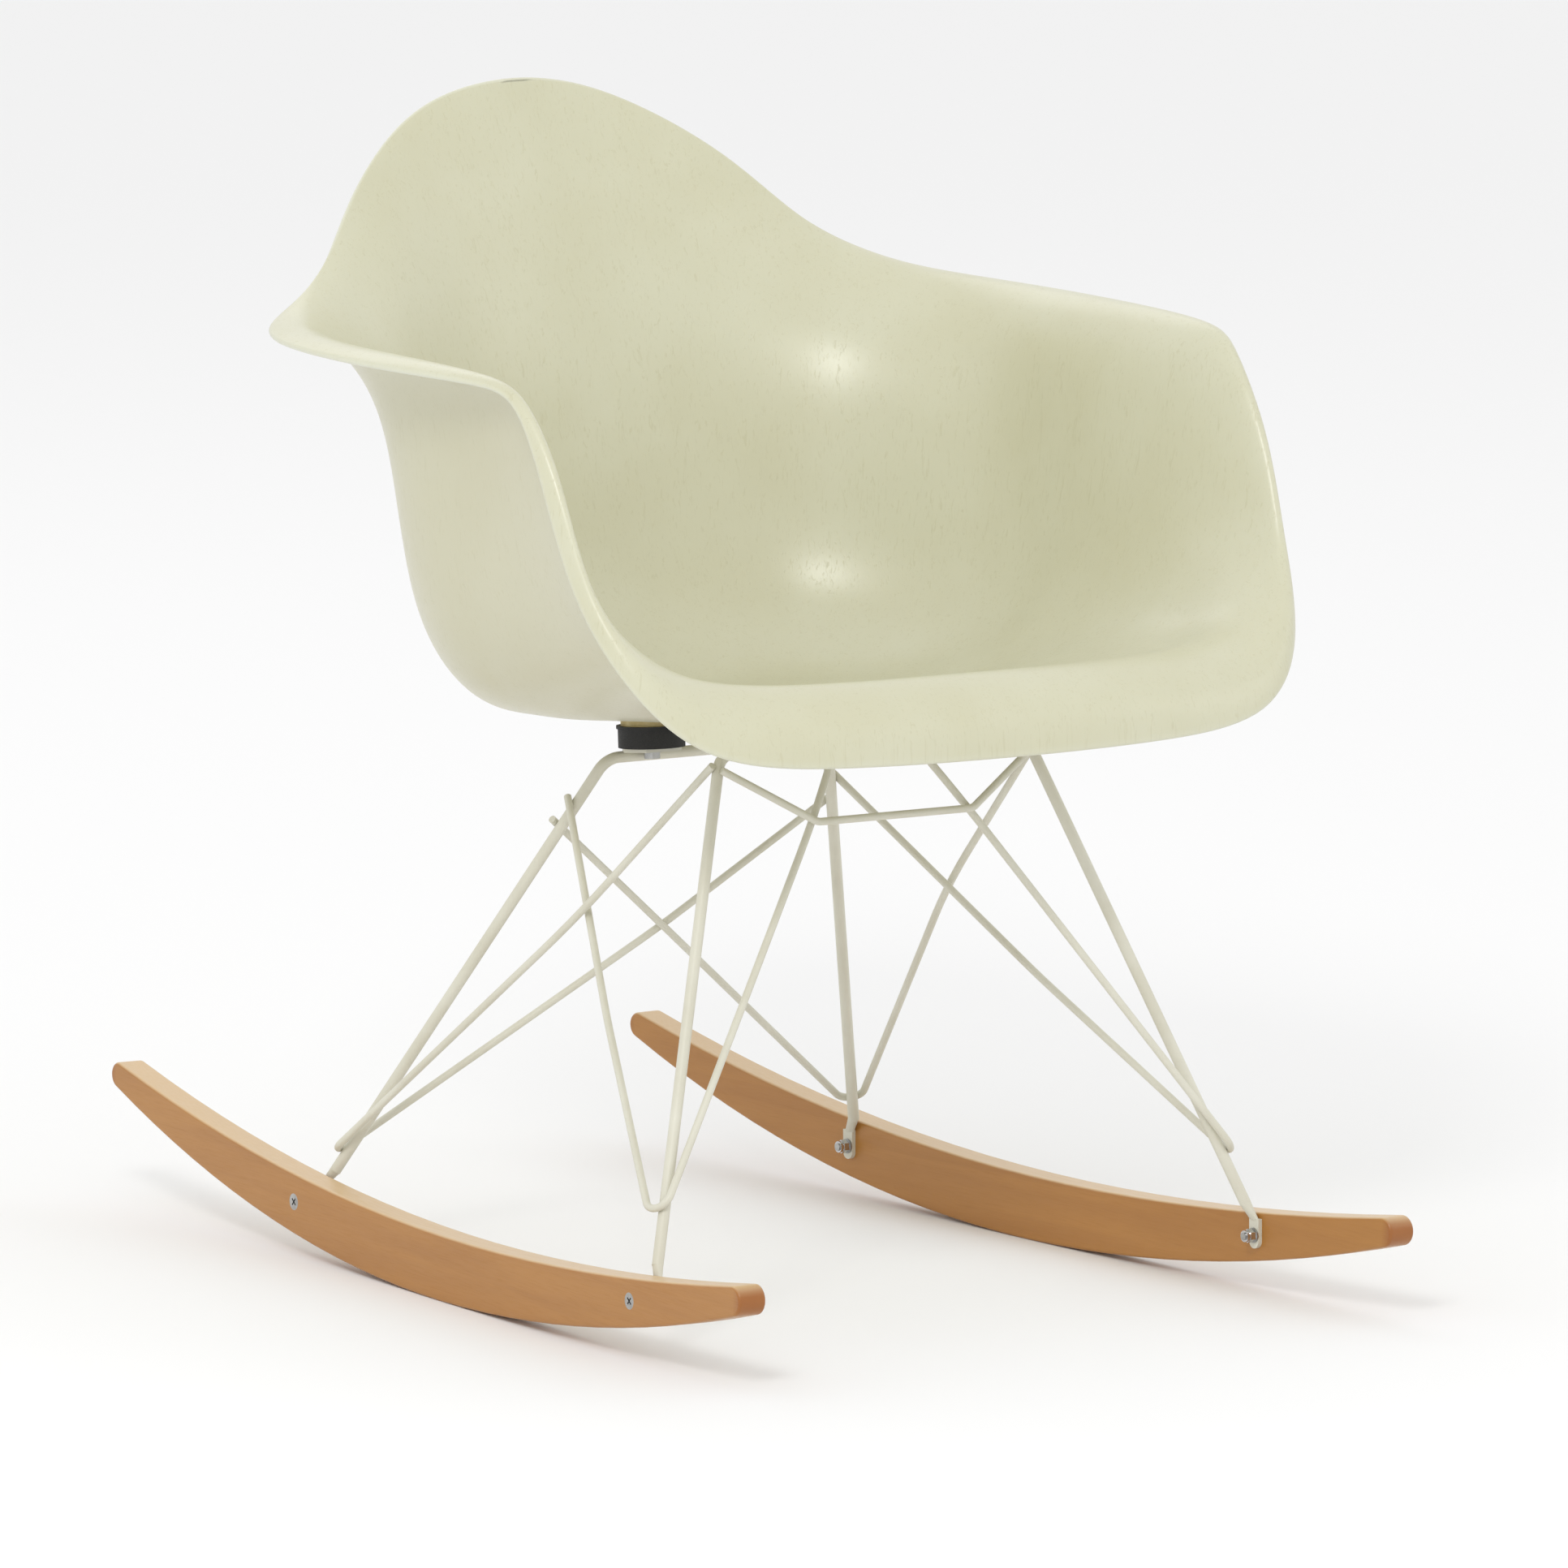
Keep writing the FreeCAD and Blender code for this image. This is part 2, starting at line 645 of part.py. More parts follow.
for end in ("rear", "front"):
    for side in (1, -1):
        place = mountPlace(end, side)
        where = "_" + end + "_" + sideNames[side]

        hexagon = add("Part::Prism", "plate_hexagon" + where, place,
                      Circumradius="sizes.plate_across / 2", Height="sizes.plate_thick")
        corner = Placement(Vector(-size("plate_across") / 2, -size("plate_deep") / 2, 0), Rotation())
        strip = add("Part::Box", "plate_strip" + where, place.multiply(corner),
                    Length="sizes.plate_across", Width="sizes.plate_deep", Height="sizes.plate_thick")
        lozenge = doc.addObject("Part::MultiCommon", "plate_lozenge" + where)
        lozenge.Shapes = [hexagon, strip]
        hole = add("Part::Cylinder", "plate_hole" + where, place,
                   Radius="sizes.bolt_dia / 2 + sizes.hole_clearance", Height="sizes.plate_thick")
        node(cut("mount_plate" + where, lozenge, hole), "mount_plate" + where)

        rubberAt = shifted(place, size("plate_thick"))
        puck = add("Part::Cylinder", "puck" + where, rubberAt,
                   Radius="sizes.mount_dia / 2", Height="sizes.mount_high - sizes.mount_lip_high")
        lip = add("Part::Cylinder", "lip" + where,
                  shifted(rubberAt, size("mount_high") - size("mount_lip_high")),
                  Radius="sizes.mount_dia / 2 + sizes.mount_lip", Height="sizes.mount_lip_high")
        socket = add("Part::Cylinder", "socket" + where, rubberAt,
                     Radius="sizes.insert_dia / 2", Height="sizes.insert_high")
        rubber = joined("rubber" + where, [puck, lip])
        node(cut("shock_mount" + where, rubber, socket), "shock_mount" + where)

        core = add("Part::Cylinder", "core" + where, rubberAt,
                   Radius="sizes.insert_dia / 2", Height="sizes.insert_high")
        thread = add("Part::Cylinder", "insert_thread" + where, rubberAt, Radius="sizes.bolt_dia / 2")
        thread.Height = boltGrip
        node(cut("mount_insert" + where, core, thread), "mount_insert" + where)

        washerAt = shifted(place, -size("bolt_washer_thick"))
        disc = add("Part::Cylinder", "bolt_disc" + where, washerAt,
                   Radius="sizes.bolt_washer_dia / 2", Height="sizes.bolt_washer_thick")
        bore = add("Part::Cylinder", "bolt_bore" + where, washerAt,
                   Radius="sizes.bolt_dia / 2 + sizes.hole_clearance", Height="sizes.bolt_washer_thick")
        node(cut("mount_washer" + where, disc, bore), "mount_washer" + where)

        headAt = shifted(washerAt, -size("bolt_head_high"))
        head = add("Part::Prism", "bolt_head" + where, headAt,
                   Circumradius="sizes.bolt_flats / 2 / cos(30)", Height="sizes.bolt_head_high")
        shank = add("Part::Cylinder", "bolt_shank" + where, headAt, Radius="sizes.bolt_dia / 2")
        shank.setExpression(
            "Height",
            "sizes.bolt_head_high + sizes.bolt_washer_thick + sizes.plate_thick + %g" % boltGrip)
        node(joined("mount_bolt" + where, [head, shank]), "mount_bolt" + where)

        # The bonding pad fills the space between the rubber and the underside of the shell.
        padAt = shifted(rubberAt, size("mount_high"))
        column = Part.makeCylinder(size("mount_dia") / 2 - 2, padTall)
        column.Placement = padAt
        below = sorted(column.cut(seatShell.Shape).Solids, key=lambda piece: piece.CenterOfMass.z)[0]
        bond = doc.addObject("Part::Feature", "mount_pad" + where)
        bond.Shape = below
        node(bond, "mount_pad" + where)

doc.recompute()

# ---------------------------------------------------------------- rest
# Everything above is drawn before the chair is put down. It then rolls back on its rear arcs, about
# their centre, until its weight is over the place where the rockers touch the floor.
densities = {"seat_shell": 1.1, "mount_pad": 1.1, "shock_mount": 1.2, "rocker_left": 0.6, "rocker_right": 0.6}
steel = 7.85


def restLean():
    """The angle in degrees by which the chair leans back at rest."""
    weight = 0.0
    moment = Vector(0, 0, 0)
    for feature in nodes:
        density = steel
        for start, other in densities.items():
            if feature.Label.startswith(start):
                density = other
        for solid in feature.Shape.Solids:
            weight += solid.Volume * density
            moment += solid.CenterOfMass * (solid.Volume * density)
    centre = moment * (1 / weight)
    return math.degrees(math.atan2(centre.y, size("rocker_sole_rear_radius") - centre.z))


leanBack = restLean()
print("leans back %.3f degrees at rest" % leanBack)
arcCentre = Vector(0, 0, size("rocker_sole_rear_radius"))
settled = Placement(Vector(0, 0, 0), Rotation(Vector(1, 0, 0), -leanBack), arcCentre)
for feature in nodes:
    feature.Placement = settled.multiply(feature.Placement)
doc.recompute()

# ---------------------------------------------------------------- check and write
for feature in doc.Objects:
    if "Invalid" in feature.State or "Error" in feature.State:
        raise RuntimeError("%s failed: %s" % (feature.Label, feature.State))
for feature in nodes:
    if feature.Shape.isNull() or not feature.Shape.isValid():
        raise RuntimeError("%s has no valid shape" % feature.Label)
    if len(feature.Shape.Solids) != 1:
        raise RuntimeError("%s has %d solids" % (feature.Label, len(feature.Shape.Solids)))

os.makedirs("parts", exist_ok=True)
for feature in nodes:
    feature.Shape.exportStep("parts/%s.step" % feature.Label)
print("%d sub-parts written" % len(nodes))
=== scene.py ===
import json
import math

import bpy
import numpy as np
from mathutils import Euler, Matrix, Vector


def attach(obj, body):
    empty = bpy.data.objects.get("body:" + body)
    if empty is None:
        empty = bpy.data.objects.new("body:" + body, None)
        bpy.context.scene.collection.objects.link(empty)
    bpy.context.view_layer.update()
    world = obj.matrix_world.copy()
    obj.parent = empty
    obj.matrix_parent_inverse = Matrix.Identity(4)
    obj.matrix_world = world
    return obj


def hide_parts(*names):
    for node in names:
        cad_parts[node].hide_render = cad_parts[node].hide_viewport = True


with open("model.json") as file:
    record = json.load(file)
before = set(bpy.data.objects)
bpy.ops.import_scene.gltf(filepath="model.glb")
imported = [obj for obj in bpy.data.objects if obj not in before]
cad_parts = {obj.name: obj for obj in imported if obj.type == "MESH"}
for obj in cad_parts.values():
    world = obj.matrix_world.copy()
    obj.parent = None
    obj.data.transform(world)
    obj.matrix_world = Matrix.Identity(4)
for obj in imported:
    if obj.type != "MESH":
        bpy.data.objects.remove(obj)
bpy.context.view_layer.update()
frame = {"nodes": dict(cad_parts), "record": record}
print("frame loaded")

# The chair is drawn as it is in the design, and then leans back on its rear arcs to its rest.
leanBack = math.radians(1.5)
arcHeight = 1.235
settled = (
    Matrix.Translation((0, 0, arcHeight))
    @ Matrix.Rotation(-leanBack, 4, "X")
    @ Matrix.Translation((0, 0, -arcHeight)))

camera = {
    "place": (-7.4493, -10.8656, 2.0537),
    "elevation": 7.48,
    "azimuth": -34.465,
    "lens": 467.7,
}
cameraData = bpy.data.cameras.new("camera")
cameraData.sensor_width = 36
cameraData.lens = camera["lens"]
cameraData.clip_end = 100
cameraObject = bpy.data.objects.new("camera", cameraData)
turn = Euler((math.radians(90 - camera["elevation"]), 0, math.radians(camera["azimuth"])))
cameraObject.matrix_world = settled @ (Matrix.Translation(camera["place"]) @ turn.to_matrix().to_4x4())
bpy.context.scene.collection.objects.link(cameraObject)
bpy.context.scene.camera = cameraObject


def linear(red, green, blue):
    # A colour given as it looks, from 0 to 255, as the shader takes it.
    values = np.array([red, green, blue]) / 255
    low = values / 12.92
    high = ((values + 0.055) / 1.055) ** 2.4
    return tuple(np.where(values < 0.04, low, high)) + (1.0,)


def newMaterial(name):
    material = bpy.data.materials.new(name)
    material.use_nodes = True
    nodes = material.node_tree.nodes
    return material, nodes, material.node_tree.links, nodes["Principled BSDF"]


def texture(nodes, links, kind, vector, **sizes):
    node = nodes.new(kind)
    for name, value in sizes.items():
        node.inputs[name.replace("_", " ")].default_value = value
    links.new(vector, node.inputs["Vector"])
    return node


def stretched(nodes, links, vector, scale, turned=(0, 0, 0)):
    # Coordinates that run faster along some axes, for grain and fibres.
    mapping = nodes.new("ShaderNodeMapping")
    mapping.inputs["Scale"].default_value = scale
    mapping.inputs["Rotation"].default_value = turned
    links.new(vector, mapping.inputs["Vector"])
    return mapping.outputs["Vector"]


def ramp(nodes, links, value, low, high, start=0.0, end=1.0):
    node = nodes.new("ShaderNodeMapRange")
    node.inputs["From Min"].default_value = low
    node.inputs["From Max"].default_value = high
    node.inputs["To Min"].default_value = start
    node.inputs["To Max"].default_value = end
    links.new(value, node.inputs["Value"])
    return node.outputs["Result"]


def mixed(nodes, links, factor, first, second):
    # Two colours mixed by a socket. Each colour is a socket or a constant.
    node = nodes.new("ShaderNodeMix")
    node.data_type = "RGBA"
    links.new(factor, node.inputs[0])
    for index, colour in ((6, first), (7, second)):
        if isinstance(colour, tuple):
            node.inputs[index].default_value = colour
        else:
            links.new(colour, node.inputs[index])
    return node.outputs[2]


def combined(nodes, links, operation, first, second):
    # One sum on two values. Each is a socket or a constant.
    node = nodes.new("ShaderNodeMath")
    node.operation = operation
    for index, value in ((0, first), (1, second)):
        if isinstance(value, float):
            node.inputs[index].default_value = value
        else:
            links.new(value, node.inputs[index])
    return node.outputs[0]


def bump(nodes, links, shader, height, strength, distance):
    node = nodes.new("ShaderNodeBump")
    node.inputs["Strength"].default_value = strength
    node.inputs["Distance"].default_value = distance
    links.new(height, node.inputs["Height"])
    links.new(node.outputs["Normal"], shader.inputs["Normal"])


def objectPlace(nodes):
    return nodes.new("ShaderNodeTexCoord").outputs["Object"]


def attribute(nodes, name):
    node = nodes.new("ShaderNodeAttribute")
    node.attribute_name = name
    return node.outputs["Fac"]


shellLook = {
    "lit": linear(206, 205, 180),
    "cloud": linear(201, 199, 171),
    "fibre": linear(187, 183, 150),
    # The edge colour is a painted highlight along the rolled rim.
    "edge": linear(217, 218, 201),
    # The under colour is painted shade for the underside of the shell.
    "under": linear(194, 190, 162),
    "threadScale": (420, 420, 22),
    "threadTurns": ((0.3, 0.2, 0.4), (1.2, 0.5, 2.0), (2.2, 1.4, 0.9)),
}


def shellMaterial():
    material, nodes, links, shader = newMaterial("shellIvory")
    place = objectPlace(nodes)
    cloud = texture(nodes, links, "ShaderNodeTexNoise", place, Scale=9.0, Detail=4.0)
    colour = mixed(nodes, links, ramp(nodes, links, cloud.outputs["Fac"], 0.35, 0.65),
                   shellLook["lit"], shellLook["cloud"])
    # Strands of glass fibre: long thin threads in three directions, only where the noise peaks.
    peaks = []
    for turned in shellLook["threadTurns"]:
        along = stretched(nodes, links, place, shellLook["threadScale"], turned)
        thread = texture(nodes, links, "ShaderNodeTexNoise", along, Scale=1.0, Detail=2.0, Distortion=1.4)
        peaks.append(ramp(nodes, links, thread.outputs["Fac"], 0.63, 0.72))
    strands = peaks[0]
    for peak in peaks[1:]:
        strands = combined(nodes, links, "MAXIMUM", strands, peak)
    threads = combined(nodes, links, "MULTIPLY", strands, 0.38)
    colour = mixed(nodes, links, threads, colour, shellLook["fibre"])
    # Painted shade: the underside is mixed halfway towards the darker under colour.
    underShade = combined(nodes, links, "MULTIPLY", attribute(nodes, "under"), 0.5)
    colour = mixed(nodes, links, underShade, colour, shellLook["under"])
    # Painted highlight: the rolled rim is mixed towards the lighter edge colour.
    colour = mixed(nodes, links, attribute(nodes, "edge"), colour, shellLook["edge"])
    links.new(colour, shader.inputs["Base Color"])
    links.new(ramp(nodes, links, strands, 0.0, 1.0, 0.3, 0.42), shader.inputs["Roughness"])
    shader.inputs["Coat Weight"].default_value = 0.15
    shader.inputs["Coat Roughness"].default_value = 0.3
    shader.inputs["Subsurface Weight"].default_value = 0.06
    shader.inputs["Subsurface Radius"].default_value = (0.01, 0.008, 0.005)
    bump(nodes, links, shader, strands, 0.12, 0.0004)
    return material


mapleLook = {
    "side": linear(174, 120, 50),
    "grain": linear(156, 102, 38),
    # The top colour is painted light for faces that look up.
    "top": linear(216, 188, 144),
    "end": linear(146, 82, 26),
    "middle": 0.027,
    "endStarts": 0.398,
    "endFull": 0.406,
}


def mapleMaterial():
    material, nodes, links, shader = newMaterial("maple")
    place = objectPlace(nodes)
    grainPlace = stretched(nodes, links, place, (60, 3, 90))
    grain = texture(nodes, links, "ShaderNodeTexNoise", grainPlace, Scale=1.0, Detail=6.0, Distortion=0.6)
    finePlace = stretched(nodes, links, place, (900, 22, 1100))
    pores = texture(nodes, links, "ShaderNodeTexNoise", finePlace, Scale=1.0, Detail=3.0)
    lines = ramp(nodes, links, grain.outputs["Fac"], 0.3, 0.8, 0.0, 0.7)
    colour = mixed(nodes, links, lines, mapleLook["side"], mapleLook["grain"])
    colour = mixed(nodes, links, ramp(nodes, links, pores.outputs["Fac"], 0.5, 0.8, 0.0, 0.35),
                   colour, mapleLook["grain"])
    # Painted light: faces that look up are mixed towards the lighter top colour.
    normal = nodes.new("ShaderNodeSeparateXYZ")
    links.new(nodes.new("ShaderNodeNewGeometry").outputs["Normal"], normal.inputs[0])
    topHighlight = ramp(nodes, links, normal.outputs["Z"], 0.35, 0.85, 0.0, 0.8)
    colour = mixed(nodes, links, topHighlight, colour, mapleLook["top"])
    # The cut ends show end grain, which is darker.
    position = nodes.new("ShaderNodeSeparateXYZ")
    links.new(place, position.inputs[0])
    centred = combined(nodes, links, "SUBTRACT", position.outputs["Y"], mapleLook["middle"])
    away = combined(nodes, links, "ABSOLUTE", centred, 0.0)
    atEnd = ramp(nodes, links, away, mapleLook["endStarts"], mapleLook["endFull"], 0.0, 0.75)
    colour = mixed(nodes, links, atEnd, colour, mapleLook["end"])
    links.new(colour, shader.inputs["Base Color"])
    links.new(ramp(nodes, links, pores.outputs["Fac"], 0.3, 0.8, 0.32, 0.48), shader.inputs["Roughness"])
    shader.inputs["Coat Weight"].default_value = 0.2
    shader.inputs["Coat Roughness"].default_value = 0.25
    bump(nodes, links, shader, pores.outputs["Fac"], 0.15, 0.0003)
    return material


def plainMaterial(name, look):
    # A finish with fine grain in its colour, its roughness and its surface.
    material, nodes, links, shader = newMaterial(name)
    place = objectPlace(nodes)
    grain = texture(nodes, links, "ShaderNodeTexNoise", place, Scale=look["grain"], Detail=4.0)
    patch = texture(nodes, links, "ShaderNodeTexNoise", place, Scale=look["patch"], Detail=3.0)
    colour = mixed(nodes, links, ramp(nodes, links, patch.outputs["Fac"], 0.35, 0.65),
                   look["colour"], look["other"])
    links.new(colour, shader.inputs["Base Color"])
    low, high = look["roughness"]
    links.new(ramp(nodes, links, grain.outputs["Fac"], 0.3, 0.7, low, high), shader.inputs["Roughness"])
    shader.inputs["Metallic"].default_value = look["metal"]
    bump(nodes, links, shader, grain.outputs["Fac"], look["relief"], 0.0004)
    return material


plainLooks = {
    "painted_rod": {
        "colour": linear(214, 212, 197), "other": linear(206, 203, 186), "grain": 900.0, "patch": 25.0,
        "roughness": (0.38, 0.5), "metal": 0.0, "relief": 0.1},
    "plain_steel": {
        "colour": linear(186, 186, 184), "other": linear(160, 160, 158), "grain": 1500.0, "patch": 120.0,
        "roughness": (0.25, 0.45), "metal": 1.0, "relief": 0.08},
    "bright_nut": {
        "colour": linear(205, 205, 206), "other": linear(190, 190, 192), "grain": 1200.0, "patch": 200.0,
        "roughness": (0.12, 0.22), "metal": 1.0, "relief": 0.03},
    "black_rubber": {
        "colour": linear(26, 26, 26), "other": linear(36, 36, 35), "grain": 1400.0, "patch": 60.0,
        "roughness": (0.55, 0.75), "metal": 0.0, "relief": 0.25},
    "bond": {
        "colour": linear(206, 190, 140), "other": linear(184, 162, 108), "grain": 420.0, "patch": 110.0,
        "roughness": (0.5, 0.8), "metal": 0.0, "relief": 0.7},
}

materials = {name: plainMaterial(name, look) for name, look in plainLooks.items()}
materials["shell"] = shellMaterial()
materials["maple"] = mapleMaterial()
slotOf = {part["node"]: part["material_slot"] for part in frame["record"]["subparts"]}
for name, cadNode in frame["nodes"].items():
    cadNode.data.materials.clear()
    cadNode.data.materials.append(materials[slotOf[name]])
print("materials made")

# Each line of the shell runs from the middle of the seat out to the edge: where the flat of the seat
# ends, low and high on the side, the start of the rolled lip, its crown and the edge, in millimetres.
shellLines = [
    [(0, -80, 391), (0, -160, 408), (0, -210, 418),
     (0, -242, 415), (0, -260, 398), (0, -265, 370)],
    [(52, -80, 391), (82, -158, 408), (102, -208, 418),
     (113, -241, 416), (118, -259, 399), (120, -264, 372)],
    [(102, -66, 391), (150, -143, 409), (182, -194, 422),
     (200, -226, 423), (209, -244, 408), (214, -251, 385)],
    [(140, -45, 390), (190, -108, 414), (220, -160, 437),
     (240, -199, 449), (252, -219, 444), (261, -220, 428)],
    [(163, -20, 389), (211, -68, 422), (240, -122, 466),
     (259, -165, 489), (269, -189, 490), (278, -182, 485)],
    [(174, 4, 388), (223, -30, 436), (247, -86, 502),
     (266, -146, 550), (275, -162, 553), (283, -153, 550)],
    [(178, 22, 388), (228, -4, 446), (249, -52, 530),
     (265, -106, 592), (275, -124, 602), (284, -122, 600)],
    [(180, 38, 388), (230, 20, 450), (248, -6, 545),
     (264, -56, 605), (279, -74, 618), (292, -78, 614)],
    [(178, 56, 387), (228, 50, 450), (246, 40, 552),
     (263, 28, 610), (282, 22, 622), (302, 18, 617)],
    [(170, 76, 385), (216, 84, 446), (237, 86, 552),
     (255, 100, 611), (276, 106, 624), (299, 110, 620)],
    [(154, 100, 384), (194, 118, 444), (214, 122, 550),
     (232, 154, 612), (252, 168, 628), (277, 175, 625)],
    [(130, 121, 382), (165, 150, 442), (184, 161, 556),
     (194, 200, 624), (212, 207, 639), (234, 208, 638)],
    [(104, 138, 381), (132, 176, 440), (150, 194, 566),
     (156, 233, 650), (170, 240, 665), (188, 238, 664)],
    [(73, 150, 381), (92, 197, 440), (103, 225, 576),
     (110, 261, 681), (124, 269, 704), (143, 268, 707)],
    [(38, 157, 380), (48, 211, 440), (53, 244, 584),
     (59, 280, 701), (68, 291, 733), (75, 298, 748)],
    [(0, 160, 380), (0, 215, 440), (0, 250, 586),
     (0, 286, 706), (0, 297, 745), (0, 301, 762)],
]
shell = {
    "marks": [0.0, 0.65, 1.35, 2.15, 3.0, 3.65, 3.95, 4.25],
    "middle": (66.0, 42.0, 369.0),
    "thickness": 4.0,
    "around": 300,
    "outward": 96,
    "rimSteps": 6,
    "rimSetBack": 0.6,
    "rimHighlightRows": 5.0,
}


def splineSlopes(marks, values, closed):
    # Slopes at the marks of the smooth cubic curve through the values, one column per number.
    count = len(marks)
    matrix = np.zeros((count, count))
    right = np.zeros_like(values)
    step = np.diff(marks)
    for index in range(1, count - 1):
        before, after = step[index - 1], step[index]
        matrix[index, index - 1:index + 2] = (after, 2 * (before + after), before)
        right[index] = 3 * (
            before / after * (values[index + 1] - values[index])
            + after / before * (values[index] - values[index - 1]))
    if closed:
        # The last value repeats the first.
        matrix[0, [0, 1, count - 2]] = (4, 1, 1)
        right[0] = 3 * (values[1] - values[count - 2])
        matrix[-1, [0, -1]] = (1, -1)
    else:
        for end, inner, far in ((0, 1, 2), (count - 1, count - 2, count - 3)):
            first = (values[inner] - values[end]) / (marks[inner] - marks[end])
            second = (values[far] - values[inner]) / (marks[far] - marks[inner])
            bend = (second - first) / (marks[far] - marks[end])
            matrix[end, end] = 1
            right[end] = first + bend * (marks[end] - marks[inner])
    return np.linalg.solve(matrix, right.reshape(count, -1)).reshape(values.shape)


def spline(marks, values, places, closed=False):
    # The curve through the values at many places at once.
    marks = np.asarray(marks, float)
    slopes = splineSlopes(marks, values, closed)
    index = np.clip(np.searchsorted(marks, places, side="right") - 1, 0, len(marks) - 2)
    width = (marks[index + 1] - marks[index]).reshape((-1,) + (1,) * (values.ndim - 1))
    part = (places - marks[index]).reshape(width.shape) / width
    start = (2 * part ** 3 - 3 * part ** 2 + 1) * values[index]
    finish = (3 * part ** 2 - 2 * part ** 3) * values[index + 1]
    leave = (part ** 3 - 2 * part ** 2 + part) * width * slopes[index]
    reach = (part ** 3 - part ** 2) * width * slopes[index + 1]
    return start + finish + leave + reach


def shellGrid():
    # The sitting surface as a grid of points, round the shell and outward, with its outward normals.
    lines = np.array(shellLines, float)
    last = len(lines) - 1
    back, radius, height = shell["middle"]
    angle = np.pi * np.arange(last + 1) / last
    middle = np.stack([radius * np.sin(angle), back - radius * np.cos(angle), np.full(last + 1, height)], 1)
    dish = middle + (lines[:, 0] - middle) * np.array([0.5, 0.5, 0.3])
    half = np.concatenate([middle[:, None], dish[:, None], lines], 1)
    other = half[last - 1:0:-1] * np.array([-1, 1, 1])
    full = np.concatenate([half, other, half[:1]], 0)
    places = np.linspace(0, len(full) - 1, shell["around"] + 1)
    rings = spline(np.arange(len(full)), full, places, closed=True)
    marks = shell["marks"]
    outPlaces = np.linspace(0, marks[-1], shell["outward"] + 1)
    grid = spline(marks, np.swapaxes(rings, 0, 1), outPlaces)
    grid = np.swapaxes(grid, 0, 1)[:-1]
    around = np.roll(grid, -1, 0) - np.roll(grid, 1, 0)
    outward = np.gradient(grid, axis=1)
    normal = np.cross(around, outward)
    normal /= np.linalg.norm(normal, axis=2, keepdims=True)
    normal[:, 0] = (0, 0, -1)
    return grid, normal


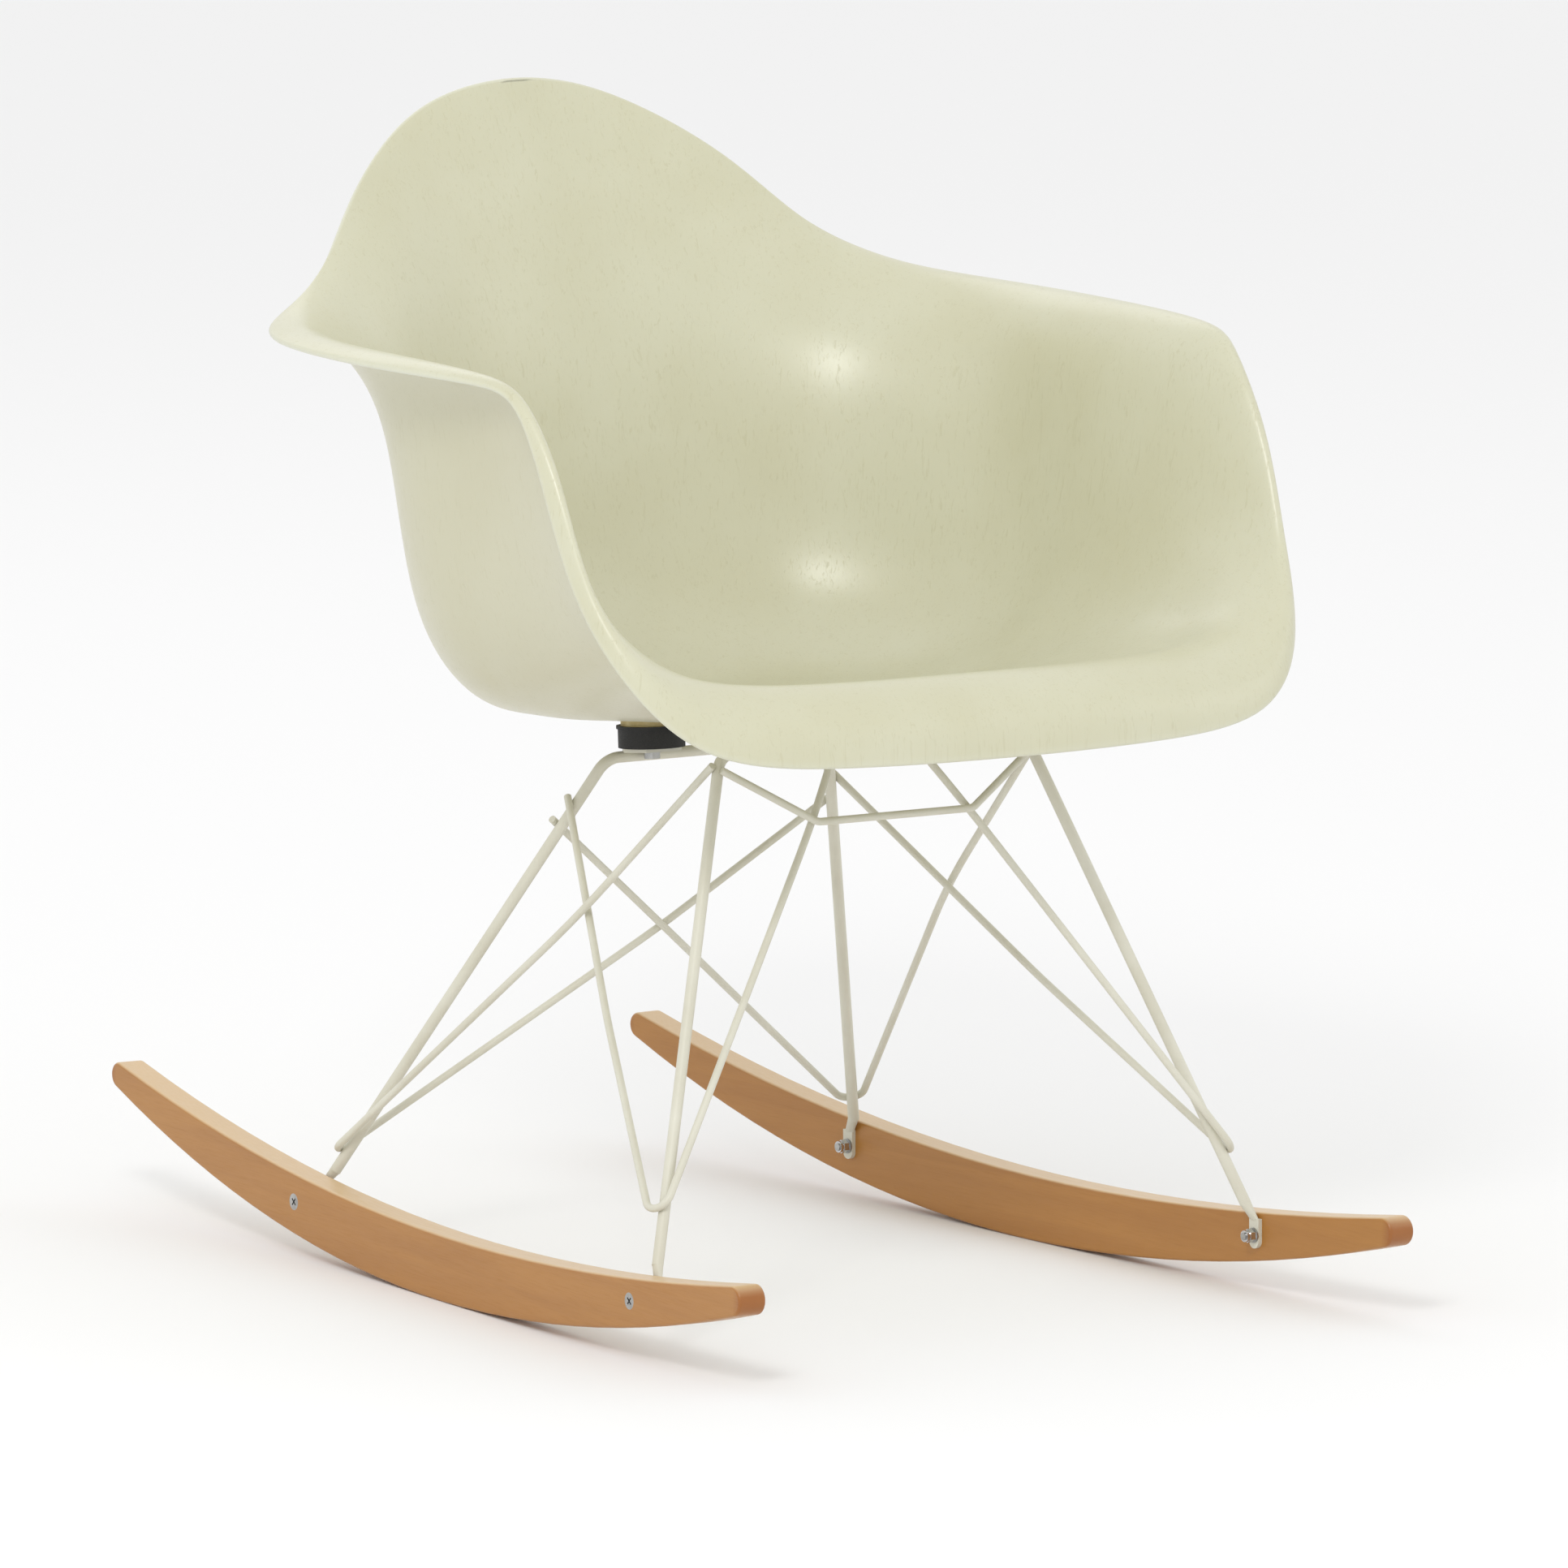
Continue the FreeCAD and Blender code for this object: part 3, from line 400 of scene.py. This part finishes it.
def shellMesh():
    # Both sides of the shell, a round rim between them and a fan over the flat middle.
    grid, normal = shellGrid()
    thickness = shell["thickness"]
    count = grid.shape[0]
    steps = shell["rimSteps"]
    angle = np.pi * np.arange(1, steps) / steps
    edge, edgeNormal = grid[:, -1], normal[:, -1]
    outward = grid[:, -1] - grid[:, -2]
    outward -= edgeNormal * (outward * edgeNormal).sum(1, keepdims=True)
    outward /= np.linalg.norm(outward, axis=1, keepdims=True)
    half = thickness / 2
    setBack = half * shell["rimSetBack"]
    rim = (
        edge[:, None] - outward[:, None] * setBack
        + edgeNormal[:, None] * (half - half * np.cos(angle))[None, :, None]
        + outward[:, None] * (half * np.sin(angle))[None, :, None])
    top = grid.copy()
    under = grid + normal * thickness
    top[:, -1] -= outward * setBack
    under[:, -1] -= outward * setBack
    strip = np.concatenate([top, rim, under[:, ::-1]], 1)
    rows = strip.shape[1]
    mark = np.arange(rows)
    topRows = top.shape[1]
    # A band of rows round the middle of the rim carries the painted highlight.
    rimHighlight = np.clip(1 - np.abs(mark - (topRows + steps / 2)) / shell["rimHighlightRows"], 0, 1)
    # Rows past the middle of the rim and the whole underside carry the painted shade.
    underShadeRows = (mark > topRows + steps / 2).astype(float)
    points = strip.reshape(-1, 3)
    index = np.arange(count * rows).reshape(count, rows)
    following = np.roll(index, -1, 0)
    quads = np.stack([index[:, :-1], following[:, :-1], following[:, 1:], index[:, 1:]], -1).reshape(-1, 4)
    middles = np.array([strip[:, 0].mean(0), strip[:, -1].mean(0)])
    points = np.concatenate([points, middles])
    topFan = np.stack([index[:, 0], np.full(count, len(points) - 2), following[:, 0]], 1)
    underFan = np.stack([index[:, -1], following[:, -1], np.full(count, len(points) - 1)], 1)
    rimHighlightValue = np.append(np.tile(rimHighlight, count), [0, 0])
    underShadeValue = np.append(np.tile(underShadeRows, count), [0, 1])
    points = points / 1000
    turned = np.array(settled.to_3x3())
    points = points @ turned.T + np.array(settled.to_translation())
    # The grid's own order makes the faces look inward, so every face is turned over.
    faces = [list(face[::-1]) for face in quads.tolist()]
    faces += [list(face[::-1]) for face in topFan.tolist()] + [list(face[::-1]) for face in underFan.tolist()]
    mesh = bpy.data.meshes.new("seatShell")
    mesh.from_pydata(points.tolist(), [], faces)
    # The under attribute masks the painted underside shade, and the edge attribute masks the painted rim
    # highlight.
    for name, values in (("edge", rimHighlightValue), ("under", underShadeValue)):
        layer = mesh.attributes.new(name, "FLOAT", "POINT")
        layer.data.foreach_set("value", values)
    mesh.update()
    mesh.shade_smooth()
    return mesh


seatShell = bpy.data.objects.new("seatShell", shellMesh())
seatShell.data.materials.append(materials["shell"])
bpy.context.scene.collection.objects.link(seatShell)
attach(seatShell, "root")
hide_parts("seat_shell")
print("shell made")

# The rods and the rubber are round, so they are shaded smooth up to a sharp edge.
sharpFrom = math.radians(38)
for name, cadNode in frame["nodes"].items():
    if name != "seat_shell":
        cadNode.data.set_sharp_from_angle(angle=sharpFrom)

floorReach = 60
floorSigns = ((-1, -1), (1, -1), (1, 1), (-1, 1))
floorCorners = [(across * floorReach, along * floorReach, 0) for across, along in floorSigns]
floorMesh = bpy.data.meshes.new("floor")
floorMesh.from_pydata(floorCorners, [], [(0, 1, 2, 3)])
floor = bpy.data.objects.new("floor", floorMesh)
floorMaterial, _, _, floorShader = newMaterial("paleFloor")
floorShader.inputs["Base Color"].default_value = (0.9, 0.9, 0.9, 1)
floorShader.inputs["Roughness"].default_value = 0.9
floorMesh.materials.append(floorMaterial)
bpy.context.scene.collection.objects.link(floor)

world = bpy.data.worlds.new("studio")
world.use_nodes = True
world.node_tree.nodes["Background"].inputs["Color"].default_value = (1, 1, 1, 1)
world.node_tree.nodes["Background"].inputs["Strength"].default_value = 0.97
bpy.context.scene.world = world
bpy.context.scene.view_settings.view_transform = "Standard"

seatHeight = 0.4
lamps = {
    "key": {"place": (-2.6, -2.4, 3.0), "size": 1.0, "power": 44},
    "fill": {"place": (3.2, -2.2, 1.8), "size": 1.6, "power": 6},
    "rear": {"place": (1.0, 3.0, 3.0), "size": 2.0, "power": 8},
}
for name, lamp in lamps.items():
    data = bpy.data.lights.new(name, "AREA")
    data.energy = lamp["power"]
    data.size = lamp["size"]
    lampObject = bpy.data.objects.new(name, data)
    lampObject.location = lamp["place"]
    toChair = Vector((0, 0, seatHeight)) - Vector(lamp["place"])
    lampObject.rotation_euler = toChair.to_track_quat("-Z", "Y").to_euler()
    bpy.context.scene.collection.objects.link(lampObject)
print("stage made")
